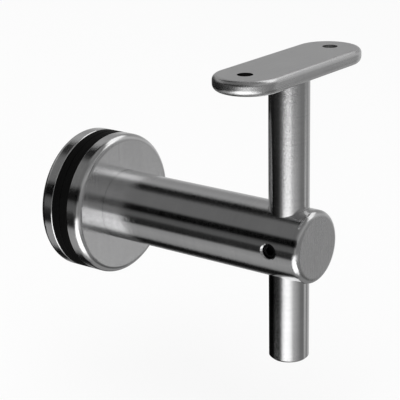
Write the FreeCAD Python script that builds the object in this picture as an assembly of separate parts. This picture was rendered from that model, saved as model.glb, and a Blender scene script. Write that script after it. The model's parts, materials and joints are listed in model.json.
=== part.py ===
"""Handrail bracket that clamps through a hole in glass and holds a rail on a stem of adjustable height.

Millimetres. The origin is where the disc axis meets the glass: the face of the front gasket.
+X points away from the glass along the arm, Y runs along the handrail and +Z is up.
"""

import FreeCAD, Part

import math
import os

from FreeCAD import Vector

X_AXIS = Vector(1, 0, 0)
Y_AXIS = Vector(0, 1, 0)
Z_AXIS = Vector(0, 0, 1)

# Glass clamp: two discs of one diameter, each with a gasket of the same diameter
DISC_D = 45.0
DISC_T = 5.0
DISC_OUTER_ROUND = 2.0
DISC_INNER_ROUND = 0.4
GASKET_T = 3.0
GASKET_EDGE_ROUND = 0.4
SLEEVE_D = 12.0
SLEEVE_LENGTH = 5.7
SLEEVE_CLEARANCE = 0.3

# Arm
ARM_D = 22.0
ARM_END_ROUND = 2.0
ARM_SEAT_DEPTH = 1.0
ARM_SEAT_CLEARANCE = 0.05
RAIL_OFFSET = 71.0
ARM_BEYOND_STEM = 10.0

# Stem
STEM_D = 12.0
STEM_BELOW_AXIS = 36.5
STEM_END_CHAMFER = 0.6
STEM_RUNNING_CLEARANCE = 0.06

# Saddle plate under the rail
SADDLE_HEIGHT = 50.0
PLATE_L = 60.0
PLATE_W = 20.0
PLATE_T = 4.5
PLATE_UPPER_ROUND = 1.5
PLATE_LOWER_ROUND = 2.0
RAIL_HOLE_SPACING = 43.0
RAIL_HOLE_D = 4.5
RAIL_COUNTERSINK_D = 9.0
SPIGOT_D = 8.0
SPIGOT_LENGTH = 2.5
SPIGOT_CLEARANCE = 0.02

# Countersunk clamp screw, M8 with a 90 degree head
CLAMP_THREAD_D = 8.0
CLAMP_THREAD_PITCH = 1.25
CLAMP_SCREW_LENGTH = 35.0
CLAMP_HEAD_D = 16.0
CLAMP_HEAD_LIP = 0.3
CLAMP_HEAD_SINK = 0.2
CLAMP_HEX = 5.0
CLAMP_HEX_DEPTH = 3.2
CLAMP_SEAT_CLEARANCE = 0.05
CLAMP_HOLE_CLEARANCE = 0.25
CLAMP_HOLE_RUNOUT = 4.0

# Set screw that locks the stem, M5
SET_THREAD_D = 5.0
SET_THREAD_PITCH = 0.8
SET_SINK = 1.0
SET_POINT_GAP = 0.02
SET_CUP_D = 2.5
SET_CUP_DEPTH = 0.5
SET_END_CHAMFER = 0.4
SET_HEX = 2.5
SET_HEX_DEPTH = 2.0
SET_MOUTH_CHAMFER = 0.5

# A thread is a plain cylinder at its pitch diameter, in the screw and in the tapped hole
PITCH_DEPTH = 0.6495
THREAD_CLEARANCE = 0.03
DRILL_POINT_ANGLE = 118.0

# Faces that the pieces share
front_disc_back = GASKET_T
front_disc_face = front_disc_back + DISC_T
arm_base = front_disc_face - ARM_SEAT_DEPTH
arm_end = RAIL_OFFSET + ARM_BEYOND_STEM
back_disc_front = -GASKET_T
back_disc_rear = back_disc_front - DISC_T
sleeve_back = front_disc_back - SLEEVE_LENGTH
sleeve_hole_r = SLEEVE_D / 2 + SLEEVE_CLEARANCE
clamp_thread_r = (CLAMP_THREAD_D - PITCH_DEPTH * CLAMP_THREAD_PITCH) / 2
clamp_hole_r = CLAMP_THREAD_D / 2 + CLAMP_HOLE_CLEARANCE
clamp_head_face = back_disc_rear + CLAMP_HEAD_SINK
clamp_tip = clamp_head_face + CLAMP_SCREW_LENGTH
set_thread_r = (SET_THREAD_D - PITCH_DEPTH * SET_THREAD_PITCH) / 2
set_point = -(STEM_D / 2 + SET_POINT_GAP)
set_outer_end = -(ARM_D / 2 - SET_SINK)


def side_of(axis):
    """Give a direction square to a row axis, in which an outline's radius is drawn."""
    return Z_AXIS if axis == Y_AXIS else Vector(axis.z, axis.x, 0)


def outline_edges(corners):
    """Join corners (point, rounding) into lines with a tangent arc at each rounded corner."""
    runs = []
    for index, (corner, rounding) in enumerate(corners):
        if rounding == 0:
            runs.append((corner, None, corner))
            continue
        to_last = (corners[index - 1][0] - corner).normalize()
        to_next = (corners[(index + 1) % len(corners)][0] - corner).normalize()
        half_angle = to_last.getAngle(to_next) / 2
        inward = (to_last + to_next).normalize()
        reach = rounding / math.tan(half_angle)
        middle = corner + inward * (rounding / math.sin(half_angle) - rounding)
        runs.append((corner + to_last * reach, middle, corner + to_next * reach))
    edges = []
    for index, (start, middle, end) in enumerate(runs):
        if middle is not None:
            edges.append(Part.Arc(start, middle, end).toShape())
        following = runs[(index + 1) % len(runs)][0]
        if end.distanceToPoint(following) > 1e-6:
            edges.append(Part.LineSegment(end, following).toShape())
    return edges


def turned(axis, outline, centre=Vector(0, 0, 0)):
    """Turn an outline of (distance along, radius, rounding) corners about an axis through centre."""
    side = side_of(axis)
    corners = [(centre + axis * along + side * radius, rounding) for along, radius, rounding in outline]
    face = Part.Face(Part.Wire(outline_edges(corners)))
    return face.revolve(centre, axis, 360)


def ring(start, end, outer_r, inner_r, start_round, end_round):
    """Make a disc along X with a central hole and rounded rims; start is the lower end."""
    return turned(X_AXIS, [
        (start, inner_r, 0),
        (end, inner_r, 0),
        (end, outer_r, end_round),
        (start, outer_r, start_round),
    ])


def rod(axis, start, end, radius, centre=Vector(0, 0, 0)):
    """Make a plain cylinder from start to end along an axis through centre."""
    return Part.makeCylinder(radius, end - start, centre + axis * start, axis)


def hex_socket(axis, mouth, depth, across_flats, centre=Vector(0, 0, 0)):
    """Make the cutter of a hex socket that goes in from its mouth along an axis."""
    corner_r = across_flats / math.sqrt(3)
    side = side_of(axis)
    other = axis.cross(side)
    turns = [math.radians(60 * step) for step in range(7)]
    points = [
        centre + axis * mouth + side * corner_r * math.cos(turn) + other * corner_r * math.sin(turn)
        for turn in turns
    ]
    return Part.Face(Part.makePolygon(points)).extrude(axis * depth)


def make_front_disc():
    """Steel disc with a clearance hole for the screw and a shallow seat for the arm's foot."""
    outer_r = DISC_D / 2
    disc = ring(front_disc_back, front_disc_face, outer_r, clamp_hole_r, DISC_INNER_ROUND, DISC_OUTER_ROUND)
    seat = rod(X_AXIS, arm_base, front_disc_face, ARM_D / 2 + ARM_SEAT_CLEARANCE)
    return disc.cut(seat)


def make_back_disc():
    """Steel disc like the front one, with a countersink in its rear face for the clamp screw."""
    outer_r = DISC_D / 2
    countersink_r = CLAMP_HEAD_D / 2 + CLAMP_SEAT_CLEARANCE
    lip = CLAMP_HEAD_SINK + CLAMP_HEAD_LIP + CLAMP_SEAT_CLEARANCE
    return turned(X_AXIS, [
        (back_disc_rear, countersink_r, 0),
        (back_disc_rear + lip, countersink_r, 0),
        (back_disc_rear + lip + countersink_r - clamp_hole_r, clamp_hole_r, 0),
        (back_disc_front, clamp_hole_r, 0),
        (back_disc_front, outer_r, DISC_INNER_ROUND),
        (back_disc_rear, outer_r, DISC_OUTER_ROUND),
    ])


def make_gasket(start):
    """Rubber ring of the discs' diameter, with a hole that clears the sleeve."""
    return ring(start, start + GASKET_T, DISC_D / 2, sleeve_hole_r, GASKET_EDGE_ROUND, GASKET_EDGE_ROUND)


def make_glass_sleeve():
    """Plastic sleeve round the screw, from the front disc almost to the back disc."""
    return ring(sleeve_back, front_disc_back, SLEEVE_D / 2, clamp_hole_r, 0, 0)


def make_clamp_screw():
    """Countersunk screw from the rear of the back disc into the arm, with its hex socket."""
    head_r = CLAMP_HEAD_D / 2
    cone_start = clamp_head_face + CLAMP_HEAD_LIP
    cone_end = cone_start + head_r - clamp_thread_r
    tip_chamfer = CLAMP_THREAD_PITCH / 2
    screw = turned(X_AXIS, [
        (clamp_head_face, 0, 0),
        (clamp_head_face, head_r, 0),
        (cone_start, head_r, 0),
        (cone_end, clamp_thread_r, 0),
        (clamp_tip - tip_chamfer, clamp_thread_r, 0),
        (clamp_tip, clamp_thread_r - tip_chamfer, 0),
        (clamp_tip, 0, 0),
    ])
    return screw.cut(hex_socket(X_AXIS, clamp_head_face, CLAMP_HEX_DEPTH, CLAMP_HEX))


def make_bracket_arm():
    """Solid bar with a blind tapped hole in its foot, a cross bore for the stem and a tapped side hole."""
    bar = turned(X_AXIS, [
        (arm_base, 0, 0),
        (arm_base, ARM_D / 2, 0),
        (arm_end, ARM_D / 2, ARM_END_ROUND),
        (arm_end, 0, 0),
    ])
    tapped_r = clamp_thread_r + THREAD_CLEARANCE
    tapped_end = clamp_tip + CLAMP_HOLE_RUNOUT
    drill_point = tapped_r / math.tan(math.radians(DRILL_POINT_ANGLE / 2))
    foot_hole = turned(X_AXIS, [
        (arm_base, 0, 0),
        (arm_base, tapped_r, 0),
        (tapped_end, tapped_r, 0),
        (tapped_end + drill_point, 0, 0),
    ])
    stem_axis_point = Vector(RAIL_OFFSET, 0, 0)
    stem_bore = rod(Z_AXIS, -ARM_D, ARM_D, STEM_D / 2 + STEM_RUNNING_CLEARANCE, stem_axis_point)
    side_r = set_thread_r + THREAD_CLEARANCE
    side_hole = turned(Y_AXIS, [
        (-ARM_D, 0, 0),
        (-ARM_D, side_r + SET_MOUTH_CHAMFER, 0),
        (-ARM_D / 2, side_r + SET_MOUTH_CHAMFER, 0),
        (-ARM_D / 2 + SET_MOUTH_CHAMFER, side_r, 0),
        (0, side_r, 0),
        (0, 0, 0),
    ], stem_axis_point)
    return bar.cut(foot_hole).cut(stem_bore).cut(side_hole)


def make_height_stem():
    """Round rod through the arm, with a spigot at its top that is fixed in the plate."""
    stem_r = STEM_D / 2
    spigot_r = SPIGOT_D / 2
    return turned(Z_AXIS, [
        (-STEM_BELOW_AXIS, 0, 0),
        (-STEM_BELOW_AXIS, stem_r - STEM_END_CHAMFER, 0),
        (-STEM_BELOW_AXIS + STEM_END_CHAMFER, stem_r, 0),
        (SADDLE_HEIGHT, stem_r, 0),
        (SADDLE_HEIGHT, spigot_r, 0),
        (SADDLE_HEIGHT + SPIGOT_LENGTH, spigot_r, 0),
        (SADDLE_HEIGHT + SPIGOT_LENGTH, 0, 0),
    ], Vector(RAIL_OFFSET, 0, 0))


def make_height_set_screw():
    """Hex-socket set screw in the arm's side; its cup point bears on the stem."""
    chamfered_r = set_thread_r - SET_END_CHAMFER
    stem_axis_point = Vector(RAIL_OFFSET, 0, 0)
    screw = turned(Y_AXIS, [
        (set_outer_end, 0, 0),
        (set_outer_end, chamfered_r, 0),
        (set_outer_end + SET_END_CHAMFER, set_thread_r, 0),
        (set_point - SET_END_CHAMFER, set_thread_r, 0),
        (set_point, chamfered_r, 0),
        (set_point, SET_CUP_D / 2, 0),
        (set_point - SET_CUP_DEPTH, 0, 0),
    ], stem_axis_point)
    return screw.cut(hex_socket(Y_AXIS, set_outer_end, SET_HEX_DEPTH, SET_HEX, stem_axis_point))


def plate_edges(solid, height):
    """Pick the edges of the plate that lie wholly at one height."""
    return [
        edge for edge in solid.Edges
        if abs(edge.BoundBox.ZMin - height) < 1e-6 and abs(edge.BoundBox.ZMax - height) < 1e-6
    ]


def make_saddle_plate():
    """Flat plate with half-round ends, countersunk from below, on a blind socket for the stem's spigot."""
    end_r = PLATE_W / 2
    end_centre = PLATE_L / 2 - end_r
    plate_top = SADDLE_HEIGHT + PLATE_T
    far_right = Vector(RAIL_OFFSET + end_r, end_centre, SADDLE_HEIGHT)
    far_left = Vector(RAIL_OFFSET - end_r, end_centre, SADDLE_HEIGHT)
    near_left = Vector(RAIL_OFFSET - end_r, -end_centre, SADDLE_HEIGHT)
    near_right = Vector(RAIL_OFFSET + end_r, -end_centre, SADDLE_HEIGHT)
    far_tip = Vector(RAIL_OFFSET, PLATE_L / 2, SADDLE_HEIGHT)
    near_tip = Vector(RAIL_OFFSET, -PLATE_L / 2, SADDLE_HEIGHT)
    outline = Part.Wire([
        Part.Arc(far_right, far_tip, far_left).toShape(),
        Part.LineSegment(far_left, near_left).toShape(),
        Part.Arc(near_left, near_tip, near_right).toShape(),
        Part.LineSegment(near_right, far_right).toShape(),
    ])
    plate = Part.Face(outline).extrude(Vector(0, 0, PLATE_T))
    plate = plate.makeFillet(PLATE_UPPER_ROUND, plate_edges(plate, plate_top))
    plate = plate.makeFillet(PLATE_LOWER_ROUND, plate_edges(plate, SADDLE_HEIGHT))
    countersink_depth = (RAIL_COUNTERSINK_D - RAIL_HOLE_D) / 2
    for side in (-1, 1):
        foot = Vector(RAIL_OFFSET, side * RAIL_HOLE_SPACING / 2, SADDLE_HEIGHT)
        hole = Part.makeCylinder(RAIL_HOLE_D / 2, PLATE_T, foot)
        countersink = Part.makeCone(RAIL_COUNTERSINK_D / 2, RAIL_HOLE_D / 2, countersink_depth, foot)
        plate = plate.cut(hole).cut(countersink)
    socket_r = SPIGOT_D / 2 + SPIGOT_CLEARANCE
    socket_end = SADDLE_HEIGHT + SPIGOT_LENGTH + SPIGOT_CLEARANCE
    socket = rod(Z_AXIS, SADDLE_HEIGHT, socket_end, socket_r, Vector(RAIL_OFFSET, 0, 0))
    return plate.cut(socket)


PIECES = {
    "saddle_plate": make_saddle_plate(),
    "height_stem": make_height_stem(),
    "bracket_arm": make_bracket_arm(),
    "height_set_screw": make_height_set_screw(),
    "front_disc": make_front_disc(),
    "front_gasket": make_gasket(0),
    "back_gasket": make_gasket(back_disc_front),
    "back_disc": make_back_disc(),
    "glass_sleeve": make_glass_sleeve(),
    "clamp_screw": make_clamp_screw(),
}

os.makedirs("parts", exist_ok=True)
for node, shape in PIECES.items():
    shape.exportStep(f"parts/{node}.step")
    centre = shape.CenterOfGravity
    solids = len(shape.Solids)
    print(f"{node}: {solids} solid, {shape.Volume:.1f} mm3, centre x {centre.x:.2f} z {centre.z:.2f}")
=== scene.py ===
"""The look of a handrail bracket that clamps through a glass panel.

Satin stainless steel throughout: a round arm on a pair of discs, a stem through the arm's end and a
flat saddle plate on top. Two black rubber rings lie between the discs. Lengths are in metres, +X
runs out along the arm, Y along the handrail and +Z up.
"""
import json
import math

import bpy
import numpy as np
from mathutils import Matrix, Vector


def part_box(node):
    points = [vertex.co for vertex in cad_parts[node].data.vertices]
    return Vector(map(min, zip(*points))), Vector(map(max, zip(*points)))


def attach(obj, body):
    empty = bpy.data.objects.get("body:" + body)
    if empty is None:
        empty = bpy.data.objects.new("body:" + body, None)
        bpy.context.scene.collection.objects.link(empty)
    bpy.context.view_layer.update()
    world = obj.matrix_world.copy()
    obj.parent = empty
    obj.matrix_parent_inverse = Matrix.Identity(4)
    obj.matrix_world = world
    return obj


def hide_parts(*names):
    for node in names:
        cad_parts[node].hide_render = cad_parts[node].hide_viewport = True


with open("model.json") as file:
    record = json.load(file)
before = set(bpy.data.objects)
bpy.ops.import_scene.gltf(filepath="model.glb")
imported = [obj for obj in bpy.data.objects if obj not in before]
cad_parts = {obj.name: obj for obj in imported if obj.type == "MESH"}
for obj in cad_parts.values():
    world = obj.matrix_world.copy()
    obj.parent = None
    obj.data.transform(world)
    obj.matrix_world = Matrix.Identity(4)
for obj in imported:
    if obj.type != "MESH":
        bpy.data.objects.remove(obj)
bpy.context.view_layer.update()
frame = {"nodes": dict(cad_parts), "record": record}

MM = 0.001
ALONG_X, ALONG_Y, ALONG_Z = 0, 1, 2

# Camera: the point that it looks at, the side that it stands on, and its lens
VIEW_TARGET = Vector((38.32, -0.05, 6.84)) * MM
VIEW_AZIMUTH = math.radians(37.5)
VIEW_ELEVATION = math.radians(18.21)
VIEW_ROLL = math.radians(-1.12)
VIEW_DISTANCE = 435.3 * MM
LENS_MM = 128.0
SENSOR_MM = 36.0
CLIP_START = 10.0 * MM

# Studio: the floor, the light all round, and lamps whose power is in watts
FLOOR_Z = -90.0 * MM
FLOOR_HALF = 4.0
FLOOR_COLOUR = (0.97, 0.97, 0.97)
FLOOR_EVENNESS = 0.65
BACKGROUND = 0.985
PLAIN_LIGHT = 0.74
KEY_LAMP = {"place": (1.6, -2.2, 2.9), "width": 2.2, "power": 50.0}
FILL_LAMP = {"place": (-2.4, -0.9, 1.8), "width": 2.4, "power": 20.0}

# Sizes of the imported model, read from its boxes
ARM_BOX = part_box("bracket_arm")
STEM_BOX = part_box("height_stem")
PLATE_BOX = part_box("saddle_plate")
FRONT_DISC_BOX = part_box("front_disc")
BACK_DISC_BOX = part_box("back_disc")
FRONT_GASKET_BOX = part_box("front_gasket")
CLAMP_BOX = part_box("clamp_screw")
SET_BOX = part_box("height_set_screw")

ARM_RADIUS = (ARM_BOX[1].z - ARM_BOX[0].z) / 2
ARM_END = ARM_BOX[1].x
STEM_X = (STEM_BOX[0].x + STEM_BOX[1].x) / 2
DISC_RADIUS = (FRONT_DISC_BOX[1].z - FRONT_DISC_BOX[0].z) / 2
PLATE_HALF_WIDTH = (PLATE_BOX[1].x - PLATE_BOX[0].x) / 2
PLATE_END_CENTRE = PLATE_BOX[1].y - PLATE_HALF_WIDTH
GASKET_MIDDLE = (FRONT_GASKET_BOX[0].x + FRONT_GASKET_BOX[1].x) / 2

# Sizes of the plate's screw holes, as the record gives them
RAIL_SCREWS = {mount["name"]: mount["dims"] for mount in frame["record"]["mounts"]}["rail_screws"]
RAIL_HOLE_SPACING = RAIL_SCREWS["spacing_y_mm"] * MM
RAIL_HOLE_RADIUS = RAIL_SCREWS["hole_r_mm"] * MM

# The value that every noise lies about
NOISE_MIDDLE = 0.5


class Wire:
    """One output of a node. Python's operators on it add Math nodes to the same tree."""

    def __init__(self, tree, socket):
        self.tree = tree
        self.socket = socket

    def maths(self, operation, *values):
        inputs = dict(enumerate(values))
        return add_node(self.tree, "ShaderNodeMath", {"operation": operation}, inputs)

    def __add__(self, other):
        return self.maths("ADD", self, other)

    def __sub__(self, other):
        return self.maths("SUBTRACT", self, other)

    def __rsub__(self, other):
        return self.maths("SUBTRACT", other, self)

    def __mul__(self, other):
        return self.maths("MULTIPLY", self, other)

    def __truediv__(self, other):
        return self.maths("DIVIDE", self, other)

    def __pow__(self, other):
        return self.maths("POWER", self, other)

    def __abs__(self):
        return self.maths("ABSOLUTE", self)

    def __neg__(self):
        return self.maths("MULTIPLY", self, -1.0)

    __radd__ = __add__
    __rmul__ = __mul__

    def parts(self):
        """The X, Y and Z of a vector."""
        split = add_node(self.tree, "ShaderNodeSeparateXYZ", {}, {"Vector": self})
        outputs = split.socket.node.outputs
        return [Wire(self.tree, outputs[axis]) for axis in range(3)]


def add_node(tree, kind, settings, inputs, output=0):
    """Adds a node, sets its settings and a ramp's stops, then its sockets, and returns an output."""
    node = tree.nodes.new(kind)
    for name, value in settings.items():
        if name == "stops":
            set_stops(node.color_ramp, value)
        else:
            setattr(node, name, value)
    for name, value in inputs.items():
        if isinstance(value, Wire):
            tree.links.new(value.socket, node.inputs[name])
        else:
            node.inputs[name].default_value = value
    return Wire(tree, node.outputs[output])


def set_stops(ramp, stops):
    """Gives a ramp its stops, each a place from 0 to 1 and a grey level."""
    while len(ramp.elements) < len(stops):
        ramp.elements.new(1.0)
    for element, (place, level) in zip(ramp.elements, stops):
        element.position = place
        element.color = (level, level, level, 1.0)


def smooth_step(tree, value, low, high):
    """0 below low, 1 above high, and a smooth rise between them."""
    inputs = {"Value": value, "From Min": low, "From Max": high}
    return add_node(tree, "ShaderNodeMapRange", {"interpolation_type": "SMOOTHSTEP"}, inputs)


def swing(noise):
    """How far a noise lies from its middle."""
    return noise - NOISE_MIDDLE


class Finish:
    """One material, with the patterns that its surface needs."""

    def __init__(self, name, constants):
        self.material = bpy.data.materials.new(name)
        self.material.use_nodes = True
        self.tree = self.material.node_tree
        self.shader = self.tree.nodes["Principled BSDF"]
        for socket, value in constants.items():
            self.shader.inputs[socket].default_value = value
        self.place = self.node("ShaderNodeTexCoord", {}, {}, output="Object")
        self.facing = Wire(self.tree, self.place.socket.node.outputs["Normal"])

    def node(self, kind, settings, inputs, output=0):
        return add_node(self.tree, kind, settings, inputs, output)

    def feed(self, socket, wire):
        self.tree.links.new(wire.socket, self.shader.inputs[socket])

    def vector(self, operation, *vectors):
        return self.node("ShaderNodeVectorMath", {"operation": operation}, dict(enumerate(vectors)))

    def noise(self, per_metre, detail=3.0, roughness=0.5):
        """Noise with a number of cycles per metre along X, Y and Z."""
        place = self.vector("MULTIPLY", self.place, per_metre)
        inputs = {"Vector": place, "Scale": 1.0, "Detail": detail, "Roughness": roughness}
        return self.node("ShaderNodeTexNoise", {}, inputs)

    def even_noise(self, per_metre, detail=3.0, roughness=0.5):
        """Noise with the same number of cycles per metre every way."""
        return self.noise([per_metre] * 3, detail, roughness)

    def fade(self, value, start, end):
        """A smooth step from 0 at start to 1 at end. Start may be the larger."""
        if start < end:
            return smooth_step(self.tree, value, start, end)
        return 1.0 - smooth_step(self.tree, value, end, start)

    def blend(self, factor, low, high):
        """A colour between two others."""
        inputs = {0: factor, 6: (*low, 1.0), 7: (*high, 1.0)}
        return self.node("ShaderNodeMix", {"data_type": "RGBA"}, inputs, output=2)

    def scaled(self, colour, factor):
        """A colour times a number."""
        settings = {"operation": "SCALE"}
        return self.node("ShaderNodeVectorMath", settings, {0: colour, "Scale": factor})

    def bump(self, height, distance, normal=None):
        """Raises the surface by a height times a distance, as a normal for the shader."""
        inputs = {"Height": height, "Distance": distance}
        if normal is not None:
            inputs["Normal"] = normal
        self.feed("Normal", self.node("ShaderNodeBump", {}, inputs))

    def brushed_normal(self, tilts):
        """The surface's normal leaned by an amount along X, Y and Z, as brush marks lean it."""
        x, y, z = tilts
        tilt = self.node("ShaderNodeCombineXYZ", {}, {"X": x, "Y": y, "Z": z})
        normal = self.node("ShaderNodeNewGeometry", {}, {}, "Normal")
        return self.vector("NORMALIZE", self.vector("ADD", normal, tilt))


# Steel: its two colours, then the cycles per metre across and along each kind of mark
STEEL_DARK = (0.56, 0.56, 0.565)
STEEL_LIGHT = (0.68, 0.68, 0.68)
LAY_FINE, LAY_LONG, LAY_DETAIL = 4200.0, 55.0, 4.0
SCRATCH_FINE, SCRATCH_LONG, SCRATCH_DETAIL = 1500.0, 28.0, 2.0
LEAN_FINE, LEAN_LONG, LEAN_DETAIL = 19000.0, 2600.0, 1.0
HANDLING = 95.0
# Where the noise is a scratch, where the normal is an end's, and how wide a worn edge is
SCRATCH_LEVEL = (0.62, 0.72)
END_NORMAL = (0.8, 0.95)
EDGE_WEAR = 0.9 * MM
# How much each of them changes the tone, the roughness and the relief
LAY_TONE, HANDLED_TONE, WORN_TONE, SCRATCH_TONE = 1.1, 0.9, 0.3, 0.15
LAY_ROUGHER, HANDLED_ROUGHER, WORN_SMOOTHER, SCRATCH_ROUGHER = 0.12, 0.1, 0.05, 0.06
LAY_RELIEF = 0.0014 * MM
SCRATCH_RELIEF = 0.8
# Walls of drilled holes: their painted shade, its place outside the radius, and its share in the back
# hole
PAINTED_HOLE_SHADE = 0.03
BORE_ROUGHER = 0.4
BORE_WALL = (0.05 * MM, 0.35 * MM)
# The back hole gets a smaller share of the painted shade, since more light reaches into it
BACK_HOLE_SHADE_SHARE = 0.65
# Roughness of the barrel and of the ends, tilt of the marks and lightness, piece by piece
SATIN = (0.13, 0.13)
ARM_SATIN = (0.13, 0.28)
BACK_DISC_SATIN = (0.13, 0.43)
PLATE_SATIN = (0.26, 0.33)
LEAN = 0.5
STEM_LEAN = 0.25
# The discs' steel is painted lighter than the arm's, standing in for the brighter light on the discs
DISC_PAINTED_LIGHTNESS = 1.1
PLATE_LIGHTNESS = 1.04


def steel(
    name, barrel_lay, end_lay, end_axis, edge, satin=SATIN, lean=LEAN, lightness=1.0, shaded_hole_walls=None
):
    """Satin steel whose brush marks run one way on the barrel and another on its flat ends.

    A lay holds the axes that cross its marks. The edge function gives how far a point lies from a
    worn edge, which is smoother and brighter than the rest. The hole function is 1 on the walls of
    drilled holes, where shade is painted into the colour and the steel is rougher. Satin is the
    roughness of the barrel and of the ends, and lean is how far the marks tilt the surface.
    """
    finish = Finish(name, {"Metallic": 1.0})
    normal = abs(finish.facing.parts()[end_axis])
    flat = finish.fade(normal, *END_NORMAL)

    def marks(fine, long, detail):
        along_barrel = [fine if axis in barrel_lay else long for axis in range(3)]
        along_end = [fine if axis in end_lay else long for axis in range(3)]
        barrel = finish.noise(along_barrel, detail)
        end = finish.noise(along_end, detail)
        return barrel + (end - barrel) * flat

    lay = marks(LAY_FINE, LAY_LONG, LAY_DETAIL)
    scratch = finish.fade(marks(SCRATCH_FINE, SCRATCH_LONG, SCRATCH_DETAIL), *SCRATCH_LEVEL)
    handled = finish.even_noise(HANDLING)
    worn = finish.fade(edge(finish), EDGE_WEAR, 0.0)

    tone = NOISE_MIDDLE + swing(lay) * LAY_TONE + swing(handled) * HANDLED_TONE
    tone = tone + worn * WORN_TONE - scratch * SCRATCH_TONE
    dark, light = [tuple(level * lightness for level in c) for c in (STEEL_DARK, STEEL_LIGHT)]
    colour = finish.blend(tone, dark, light)
    roughness = satin[0] + (satin[1] - satin[0]) * flat
    roughness = roughness + swing(lay) * LAY_ROUGHER + swing(handled) * HANDLED_ROUGHER
    roughness = roughness + scratch * SCRATCH_ROUGHER - worn * WORN_SMOOTHER
    # Shade is painted into the colour on the walls of drilled holes, which are also made rougher
    if shaded_hole_walls is not None:
        on_shaded_hole_wall = shaded_hole_walls(finish) * (1.0 - flat)
        colour = finish.scaled(colour, 1.0 - on_shaded_hole_wall * (1.0 - PAINTED_HOLE_SHADE))
        roughness = roughness + on_shaded_hole_wall * BORE_ROUGHER
    finish.feed("Base Color", colour)
    finish.feed("Roughness", roughness)

    leaning = swing(marks(LEAN_FINE, LEAN_LONG, LEAN_DETAIL)) * lean
    on_barrel, on_end = leaning * (1.0 - flat), leaning * flat
    tilts = [
        (on_barrel if axis in barrel_lay else 0.0) + (on_end if axis in end_lay else 0.0)
        for axis in range(3)
    ]
    finish.bump(lay + scratch * SCRATCH_RELIEF, LAY_RELIEF, finish.brushed_normal(tilts))
    return finish.material


def from_long_axis(finish):
    """Distance of a point from the line that the arm and the discs share."""
    _, y, z = finish.place.parts()
    return (y * y + z * z) ** 0.5


def arm_edge(finish):
    """Distance from the arm's outer end, taken at the rim."""
    out = ARM_END - finish.place.parts()[ALONG_X]
    return out + (ARM_RADIUS - from_long_axis(finish))


def stem_edge(finish):
    """Height over the stem's lower end."""
    return finish.place.parts()[ALONG_Z] - STEM_BOX[0].z


def disc_edge(box):
    """Distance from the nearer rim of a disc that fills a box."""

    def edge(finish):
        x = finish.place.parts()[ALONG_X]
        to_face = x.maths("MINIMUM", abs(box[1].x - x), abs(x - box[0].x))
        return to_face + abs(DISC_RADIUS - from_long_axis(finish))

    return edge


def plate_edge(finish):
    """Distance from the plate's upper edge, whose outline is half round at both ends."""
    x, y, z = finish.place.parts()
    side = x - STEM_X
    past = abs(y) - PLATE_END_CENTRE
    beyond = past.maths("MAXIMUM", past, 0.0)
    inward = PLATE_HALF_WIDTH - (side * side + beyond * beyond) ** 0.5
    return abs(inward) + (PLATE_BOX[1].z - z)


def rail_hole_shade(finish):
    """Painted shade on the walls of the plate's screw holes: 1 in front, less at the back, 0
    elsewhere.
    """
    x, y, _ = finish.place.parts()
    across, along = x - STEM_X, abs(y) - RAIL_HOLE_SPACING / 2
    from_hole = (across * across + along * along) ** 0.5
    inner, outer = [RAIL_HOLE_RADIUS + outside for outside in BORE_WALL]
    wall = finish.fade(from_hole, outer, inner)
    to_back = finish.fade(y, -PLATE_HALF_WIDTH, PLATE_HALF_WIDTH)
    return wall * (1.0 - to_back * (1.0 - BACK_HOLE_SHADE_SHARE))


# Rubber
RUBBER_DARK = (0.0012, 0.0012, 0.0012)
RUBBER_DUSTY = (0.004, 0.004, 0.004)
RUBBER_SHINE = 0.06
RUBBER_ROUGHNESS, RUBBER_BLOOM_ROUGHER = 0.58, 0.3
RUBBER_GRAIN = 2600.0
RUBBER_BLOOM, RUBBER_BLOOM_DETAIL, RUBBER_BLOOM_EDGES = 140.0, 4.0, 0.6
RUBBER_RELIEF = 0.03 * MM
GRAIN_HEIGHT, FLASH_HEIGHT = 0.4, 2.0
FLASH_HALF_WIDTH = 0.12 * MM


def rubber():
    """Matt black moulded rubber: fine grain, a bloom of dust and a flash line round the middle."""
    finish = Finish("gasket_rubber", {"Specular IOR Level": RUBBER_SHINE})
    grain = finish.even_noise(RUBBER_GRAIN)
    bloom = finish.even_noise(RUBBER_BLOOM, RUBBER_BLOOM_DETAIL, RUBBER_BLOOM_EDGES)
    finish.feed("Base Color", finish.blend(bloom, RUBBER_DARK, RUBBER_DUSTY))
    finish.feed("Roughness", RUBBER_ROUGHNESS + swing(bloom) * RUBBER_BLOOM_ROUGHER)
    from_flash = abs(abs(finish.place.parts()[ALONG_X]) - GASKET_MIDDLE)
    flash = finish.fade(from_flash, FLASH_HALF_WIDTH, 0.0)
    finish.bump(grain * GRAIN_HEIGHT + flash * FLASH_HEIGHT, RUBBER_RELIEF)
    return finish.material


# Nylon
NYLON_DARK = (0.72, 0.72, 0.68)
NYLON_LIGHT = (0.79, 0.79, 0.76)
NYLON_SHINE = 0.5
NYLON_ROUGHNESS, TURNED_ROUGHER = 0.42, 0.2
NYLON_MOTTLE = 220.0
TURNED_MARKS, TURNED_DETAIL = (3500.0, 60.0, 60.0), 2.0
NYLON_RELIEF = 0.01 * MM


def nylon():
    """Natural nylon with a faint mottle and turned marks."""
    finish = Finish("sleeve_nylon", {"Specular IOR Level": NYLON_SHINE})
    mottle = finish.even_noise(NYLON_MOTTLE)
    turned = finish.noise(TURNED_MARKS, TURNED_DETAIL)
    finish.feed("Base Color", finish.blend(mottle, NYLON_DARK, NYLON_LIGHT))
    finish.feed("Roughness", NYLON_ROUGHNESS + swing(turned) * TURNED_ROUGHER)
    finish.bump(turned, NYLON_RELIEF)
    return finish.material


# Near-black steel
NEAR_BLACK_DARK = (0.012, 0.012, 0.012)
NEAR_BLACK_LIGHT = (0.035, 0.035, 0.037)
NEAR_BLACK_ROUGHNESS, OIL_ROUGHER = 0.36, 0.2
OIL_BLOOM, OIL_TONE = 420.0, 1.2
NEAR_BLACK_GRAIN, NEAR_BLACK_GRAIN_DETAIL = 3200.0, 2.0
NEAR_BLACK_RELIEF = 0.002 * MM


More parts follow.
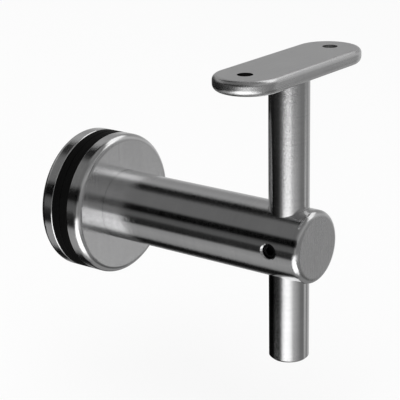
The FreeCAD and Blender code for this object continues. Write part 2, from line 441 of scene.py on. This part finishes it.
def black_steel():
    """Near-black steel with a slight bloom of oil."""
    finish = Finish("near_black_steel", {"Metallic": 1.0})
    bloom = finish.even_noise(OIL_BLOOM)
    grain = finish.even_noise(NEAR_BLACK_GRAIN, NEAR_BLACK_GRAIN_DETAIL)
    tone = NOISE_MIDDLE + swing(bloom) * OIL_TONE
    finish.feed("Base Color", finish.blend(tone, NEAR_BLACK_DARK, NEAR_BLACK_LIGHT))
    finish.feed("Roughness", NEAR_BLACK_ROUGHNESS + swing(bloom) * OIL_ROUGHER)
    finish.bump(grain, NEAR_BLACK_RELIEF)
    return finish.material


# Machined steel
MACHINED_DARK = (0.46, 0.46, 0.46)
MACHINED_LIGHT = (0.6, 0.6, 0.59)
MACHINED_ROUGHNESS = 0.4
SWIRL, SWIRL_TONE, SWIRL_ROUGHER = 1900.0, 0.8, 0.1
STAIN, STAIN_TONE, STAIN_ROUGHER = 260.0, 0.9, 0.2
MACHINED_RELIEF = 0.003 * MM


def screw_steel():
    """Plain machined steel, a little duller than the satin pieces."""
    finish = Finish("screw_steel", {"Metallic": 1.0})
    swirl = finish.even_noise(SWIRL)
    stain = finish.even_noise(STAIN)
    tone = NOISE_MIDDLE + swing(swirl) * SWIRL_TONE + swing(stain) * STAIN_TONE
    finish.feed("Base Color", finish.blend(tone, MACHINED_DARK, MACHINED_LIGHT))
    roughness = MACHINED_ROUGHNESS + swing(stain) * STAIN_ROUGHER + swing(swirl) * SWIRL_ROUGHER
    finish.feed("Roughness", roughness)
    finish.bump(swirl, MACHINED_RELIEF)
    return finish.material


# Screws: points round a ring, rings in a pitch, and the thread's form in shares of a pitch
ANGLES = 72
THREAD_STEPS = 12
THREAD_HEIGHT = 0.6134
CREST_SHARE = 0.125
THREAD_RUNOUT = 0.6
# Edges sharper than this are creases
SHARP_ANGLE = math.radians(28.0)


def closed_skin(name, rings, start, axis, material):
    """A closed surface through rings, with a flat face in its first and its last ring.

    A ring is a station along the level axis from the start, and a radius, which is the same all
    round or has a value for each angle: point = start + axis * station + radius * (up * cos +
    side * sin).
    """
    stations = np.array([station for station, _ in rings])
    radii = np.array([np.broadcast_to(radius, ANGLES) for _, radius in rings])
    start, axis, up = np.array(start), np.array(axis, float), np.array((0.0, 0.0, 1.0))
    side = np.cross(axis, up)
    turn = np.arange(ANGLES) * 2 * math.pi / ANGLES
    around = np.cos(turn)[:, None] * up + np.sin(turn)[:, None] * side
    points = start + stations[:, None, None] * axis + radii[:, :, None] * around
    ring = np.arange(len(stations) - 1)[:, None] * ANGLES
    here = np.arange(ANGLES)[None, :]
    after = (here + 1) % ANGLES
    quads = np.stack([ring + here, ring + after, ring + after + ANGLES, ring + here + ANGLES], -1)
    last = (len(stations) - 1) * ANGLES
    first_face = list(range(ANGLES))[::-1]
    last_face = list(range(last, last + ANGLES))
    faces = quads.reshape(-1, 4).tolist() + [first_face, last_face]
    mesh = bpy.data.meshes.new(name)
    mesh.from_pydata(points.reshape(-1, 3).tolist(), [], faces)
    mesh.polygons.foreach_set("use_smooth", np.ones(len(mesh.polygons), bool))
    mesh.set_sharp_from_angle(angle=SHARP_ANGLE)
    mesh.materials.append(material)
    piece = bpy.data.objects.new(name, mesh)
    bpy.context.scene.collection.objects.link(piece)
    return piece


def hexagon(across_flats):
    """Radius of a hexagon at each angle: half its width over the cosine of the angle to a flat."""
    turn = np.arange(ANGLES) * 2 * math.pi / ANGLES
    to_flat = (turn + math.pi / 6) % (math.pi / 3) - math.pi / 6
    return across_flats / 2 / np.cos(to_flat)


def thread(start, length, crest_diameter, pitch):
    """Rings of a metric thread: a triangle wave along the axis that turns once for each pitch.

    radius = crest - depth * wave, where the wave's tips are cut flat and fade out at both ends.
    """
    count = int(round(length / pitch * THREAD_STEPS)) + 1
    stations = np.linspace(0.0, length, count)
    turn = np.arange(ANGLES) / ANGLES
    phase = (stations[:, None] / pitch - turn[None, :]) % 1.0
    wave = np.abs(2 * phase - 1)
    wave = np.clip((wave - CREST_SHARE) / (1 - 3 * CREST_SHARE), 0.0, 1.0)
    crest = crest_diameter / 2
    depth = THREAD_HEIGHT * pitch
    to_end = np.minimum(stations, length - stations)[:, None]
    shown = np.clip(to_end / (THREAD_RUNOUT * pitch), 0.0, 1.0)
    radii = crest - depth * (wave * shown + (1 - shown))
    return list(zip(stations + start, radii))


def threaded_clamp_screw(material):
    """The countersunk hex-socket screw that pulls the discs together."""
    head, lip, diameter, pitch = 16.0 * MM, 0.3 * MM, 8.0 * MM, 1.25 * MM
    hexagon_width, hexagon_depth = 5.0 * MM, 3.2 * MM
    centre_share, floor_share, floor_round = 0.4, 0.97, 0.1 * MM
    mouth_share, mouth_depth = 1.08, 0.25 * MM
    rim_round, middle_down, middle_in = 0.25 * MM, 0.12 * MM, 0.05 * MM
    neck_in, thread_stop = 0.4 * MM, 0.6 * MM
    nose_in, nose_length, nose_radius = 1.0 * MM, 0.2 * MM, 2.4 * MM
    length = CLAMP_BOX[1].x - CLAMP_BOX[0].x
    shank = (head - diameter) / 2 + lip
    socket = hexagon(hexagon_width)
    socket_and_head = [
        (hexagon_depth, socket * centre_share),
        (hexagon_depth, socket * floor_share),
        (hexagon_depth - floor_round, socket),
        (mouth_depth, socket),
        (0.0, socket * mouth_share),
        (0.0, head / 2 - rim_round),
        (middle_down, head / 2 - middle_in),
        (lip, head / 2),
        (shank, diameter / 2 - neck_in),
    ]
    tip = [(length - nose_length, diameter / 2 - nose_in), (length, nose_radius)]
    rings = socket_and_head + thread(shank, length - shank - thread_stop, diameter, pitch) + tip
    start = (CLAMP_BOX[0].x, 0.0, 0.0)
    return closed_skin("threaded_clamp_screw", rings, start, (1, 0, 0), material)


def threaded_set_screw(material):
    """The socket set screw in the arm's side, with its cup point on the stem."""
    diameter, pitch, bevel = 5.0 * MM, 0.8 * MM, 0.4 * MM
    hexagon_width, hexagon_depth = 2.5 * MM, 2.0 * MM
    centre_share, floor_round = 0.3, 0.1 * MM
    mouth_share, mouth_depth, head_inset = 1.06, 0.1 * MM, 0.6 * MM
    cup_outside, cup_inside, cup_middle, cup_depth = 1.6 * MM, 1.25 * MM, 0.3 * MM, 0.5 * MM
    length = SET_BOX[1].y - SET_BOX[0].y
    socket = hexagon(hexagon_width)
    socket_and_head = [
        (hexagon_depth, socket * centre_share),
        (hexagon_depth - floor_round, socket),
        (mouth_depth, socket),
        (0.0, socket * mouth_share),
        (0.0, diameter / 2 - head_inset),
    ]
    cup = [(length, cup_outside), (length, cup_inside), (length - cup_depth, cup_middle)]
    rings = socket_and_head + thread(bevel, length - 2 * bevel, diameter, pitch) + cup
    start = (STEM_X, SET_BOX[0].y, 0.0)
    return closed_skin("threaded_set_screw", rings, start, (0, 1, 0), material)


# The studio's painted panels run along the arm. Each stop is an angle round the arm, from the
# front (0) over the top (90) to the back (180), and the panel's brightness there.
LEFT_PANELS = (
    (-180, 0.6), (-160, 0.5), (-134, 0.3), (-122, 0.02), (-92, 0.0), (-82, 0.34),
    (-56, 0.4), (-36, 0.34), (-26, 0.04), (-14, 0.03), (-7, 0.13), (4, 0.11), (11, 0.0),
    (27, 0.0), (35, 0.17), (76, 0.17), (87, 0.02), (104, 0.0), (114, 0.3), (122, 0.42),
    (150, 0.33), (166, 0.4), (180, 0.6),
)
RIGHT_PANELS = (
    (-180, 0.5), (-168, 0.34), (-150, 0.3), (-138, 0.1), (-112, 0.08), (-92, 0.3),
    (-76, 1.6), (-46, 2.0), (-28, 1.4), (-16, 0.4), (4, 0.3), (12, 0.04), (26, 0.04),
    (36, 0.3), (96, 0.22), (106, 0.3), (120, 1.4), (134, 1.4), (148, 0.6), (180, 0.5),
)
PANEL_PEAK = 2.5
# Where the left panels give way to the right ones, as the X of a direction
TO_RIGHT = (0.1, 0.5)
# Where both give way to plain caps, towards either end of the arm's line. A cap has one brightness
# round LOW_PLACE, a Z just below eye level, and another away from it.
LEFT_END = (0.7, 0.86)
RIGHT_END = (0.64, 0.72)
LEFT_CAP = 0.02
RIGHT_CAP = 0.26
FAR_CAP = 0.4
LOW_PLACE = -0.25
FAR_FROM_LOW = (0.4, 0.65)
# A low band runs all round, between two depths below eye level. Its stops go by azimuth, from the
# left (-90) over the front (0) to the right (90).
LOW_BAND_TOP = (0.2, 0.33)
LOW_BAND_FOOT = (0.4, 0.52)
LOW_BAND = (
    (-180, 0.62), (-160, 0.5), (-146, 0.08), (-130, 0.01), (-88, 0.0), (-70, 0.0),
    (-50, 0.01), (-36, 0.02), (-24, 0.055), (-8, 0.3), (4, 0.95), (16, 1.6), (34, 1.6),
    (48, 1.1), (62, 0.68), (84, 0.42), (104, 0.22), (124, 0.2), (137, 0.66), (145, 0.34),
    (152, 0.22), (166, 0.44), (180, 0.62),
)
# Round lights above and below the part: direction, cosines at the rim's outside and inside, brightness
ROUND_LIGHTS = (
    ((0.0, 0.0, 1.0), (0.9, 0.99), 0.25),
    ((0.1, 0.36, -0.93), (0.85, 0.97), 0.3),
    ((0.12, 0.6, 0.79), (0.93, 0.975), 1.3),
    ((0.1, -0.67, -0.735), (0.87, 0.95), 1.8),
)


def studio():
    """White behind the part, plain light on it, and painted panels for its reflections."""
    world = bpy.data.worlds.new("studio")
    bpy.context.scene.world = world
    world.use_nodes = True
    tree = world.node_tree
    shader = tree.nodes["Background"]
    direction = add_node(tree, "ShaderNodeTexCoord", {}, {}, output="Generated")
    x, y, z = direction.parts()

    def panels(angle, stops):
        placed = [(degrees / 360 + 0.5, level / PANEL_PEAK) for degrees, level in stops]
        turn = angle / (2 * math.pi) + 0.5
        return add_node(tree, "ShaderNodeValToRGB", {"stops": placed}, {"Fac": turn}) * PANEL_PEAK

    def step(value, low, high):
        return smooth_step(tree, value, low, high)

    round_arm = z.maths("ARCTAN2", z, -y)
    azimuth = x.maths("ARCTAN2", x, -y)
    to_right = step(x, *TO_RIGHT)
    left = panels(round_arm, LEFT_PANELS)
    painted = left + (panels(round_arm, RIGHT_PANELS) - left) * to_right
    caps = LEFT_CAP + (RIGHT_CAP - LEFT_CAP) * to_right
    caps = caps + (FAR_CAP - caps) * step(abs(z - LOW_PLACE), *FAR_FROM_LOW)
    ends = step(-x, *LEFT_END) + step(x, *RIGHT_END)
    painted = painted + (caps - painted) * ends
    band = step(-z, *LOW_BAND_TOP) * (1.0 - step(-z, *LOW_BAND_FOOT))
    painted = painted + (panels(azimuth, LOW_BAND) - painted) * band
    for towards, rim, level in ROUND_LIGHTS:
        settings = {"operation": "DOT_PRODUCT"}
        near = add_node(tree, "ShaderNodeVectorMath", settings, {0: direction, 1: towards}, "Value")
        painted = painted + (level - painted) * step(near, *rim)
    to_camera = add_node(tree, "ShaderNodeLightPath", {}, {}, output="Is Camera Ray")
    glossy = Wire(tree, to_camera.socket.node.outputs["Is Glossy Ray"])
    light = PLAIN_LIGHT + (painted - PLAIN_LIGHT) * glossy
    light = light + (BACKGROUND - light) * to_camera
    tree.links.new(light.socket, shader.inputs["Color"])
    shader.inputs["Strength"].default_value = 1.0


def floor():
    """A plain pale floor, seen from above only. The camera sees a share of it evenly lit."""
    corners = [(-1, -1), (1, -1), (1, 1), (-1, 1)]
    points = [(FLOOR_HALF * x, FLOOR_HALF * y, FLOOR_Z) for x, y in corners]
    mesh = bpy.data.meshes.new("floor")
    mesh.from_pydata(points, [], [(0, 1, 2, 3)])
    colour = (*FLOOR_COLOUR, 1.0)
    matt = {"Base Color": colour, "Roughness": 1.0, "Specular IOR Level": 0.0}
    finish = Finish("floor_paint", matt)
    below = finish.node("ShaderNodeNewGeometry", {}, {}, output="Backfacing")
    clear = finish.node("ShaderNodeBsdfTransparent", {}, {})
    paint = Wire(finish.tree, finish.shader.outputs["BSDF"])
    seen = finish.node("ShaderNodeLightPath", {}, {}, output="Is Camera Ray")
    white = finish.node("ShaderNodeEmission", {}, {"Color": colour})
    even = finish.node("ShaderNodeMixShader", {}, {0: seen * FLOOR_EVENNESS, 1: paint, 2: white})
    mixed = finish.node("ShaderNodeMixShader", {}, {0: below, 1: even, 2: clear})
    output = finish.tree.nodes["Material Output"]
    finish.tree.links.new(mixed.socket, output.inputs["Surface"])
    mesh.materials.append(finish.material)
    plane = bpy.data.objects.new("floor", mesh)
    bpy.context.scene.collection.objects.link(plane)
    plane.visible_glossy = False


def lamp(name, place, width, power):
    """A soft square lamp that looks at the part and doesn't show in its gloss."""
    light = bpy.data.lights.new(name, "AREA")
    light.size = width
    light.energy = power
    holder = bpy.data.objects.new(name, light)
    aim = VIEW_TARGET - Vector(place)
    turn = aim.to_track_quat("-Z", "Y").to_matrix().to_4x4()
    holder.matrix_world = Matrix.Translation(place) @ turn
    holder.visible_glossy = False
    bpy.context.scene.collection.objects.link(holder)


def camera():
    """Stands at an azimuth, an elevation and a distance from the target, a little rolled."""
    azimuth, elevation, roll = VIEW_AZIMUTH, VIEW_ELEVATION, VIEW_ROLL
    back = Vector((
        math.sin(azimuth) * math.cos(elevation),
        -math.cos(azimuth) * math.cos(elevation),
        math.sin(elevation),
    ))
    level = Vector((math.cos(azimuth), math.sin(azimuth), 0.0))
    upright = back.cross(level)
    right = level * math.cos(roll) + upright * math.sin(roll)
    up = upright * math.cos(roll) - level * math.sin(roll)
    eye = VIEW_TARGET + back * VIEW_DISTANCE
    data = bpy.data.cameras.new("camera")
    data.lens = LENS_MM
    data.sensor_width = SENSOR_MM
    data.clip_start = CLIP_START
    holder = bpy.data.objects.new("camera", data)
    turn = Matrix((right, up, back)).transposed().to_4x4()
    holder.matrix_world = Matrix.Translation(eye) @ turn
    bpy.context.scene.collection.objects.link(holder)
    bpy.context.scene.camera = holder


def dress(node, material):
    """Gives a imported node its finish."""
    slots = frame["nodes"][node].data.materials
    for index in range(len(slots)):
        slots[index] = material
    if not slots:
        slots.append(material)


def plate_steel():
    """The plate's steel, brushed along its length, with shade painted on the walls of its screw holes.
    """
    barrel_lay, end_lay = [ALONG_X, ALONG_Z], [ALONG_X]
    looks = {"satin": PLATE_SATIN, "lightness": PLATE_LIGHTNESS, "shaded_hole_walls": rail_hole_shade}
    return steel("plate_steel", barrel_lay, end_lay, ALONG_Z, plate_edge, **looks)


def disc_steel(node, box, satin):
    """A disc's steel, turned round its rim and brushed along Z on its faces."""
    # Painted light: the discs' steel is made lighter than the arm's, for the brighter light on them
    looks = {"satin": satin, "lightness": DISC_PAINTED_LIGHTNESS}
    return steel(f"{node}_steel", [ALONG_X], [ALONG_Y], ALONG_X, disc_edge(box), **looks)


camera()
studio()
floor()
lamp("key", **KEY_LAMP)
lamp("fill", **FILL_LAMP)
bpy.context.scene.view_settings.view_transform = "Standard"

arm_steel = steel("arm_steel", [ALONG_X], [ALONG_Y], ALONG_X, arm_edge, satin=ARM_SATIN)
dress("bracket_arm", arm_steel)
stem_steel = steel("stem_steel", [ALONG_Z], [ALONG_X], ALONG_Z, stem_edge, lean=STEM_LEAN)
dress("height_stem", stem_steel)
dress("saddle_plate", plate_steel())
dress("front_disc", disc_steel("front_disc", FRONT_DISC_BOX, SATIN))
dress("back_disc", disc_steel("back_disc", BACK_DISC_BOX, BACK_DISC_SATIN))
black_rubber = rubber()
dress("front_gasket", black_rubber)
dress("back_gasket", black_rubber)
dress("glass_sleeve", nylon())

clamp = threaded_clamp_screw(screw_steel())
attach(clamp, "clamp_bolt")
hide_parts("clamp_screw")
grub = threaded_set_screw(black_steel())
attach(grub, "set_screw")
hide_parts("height_set_screw")
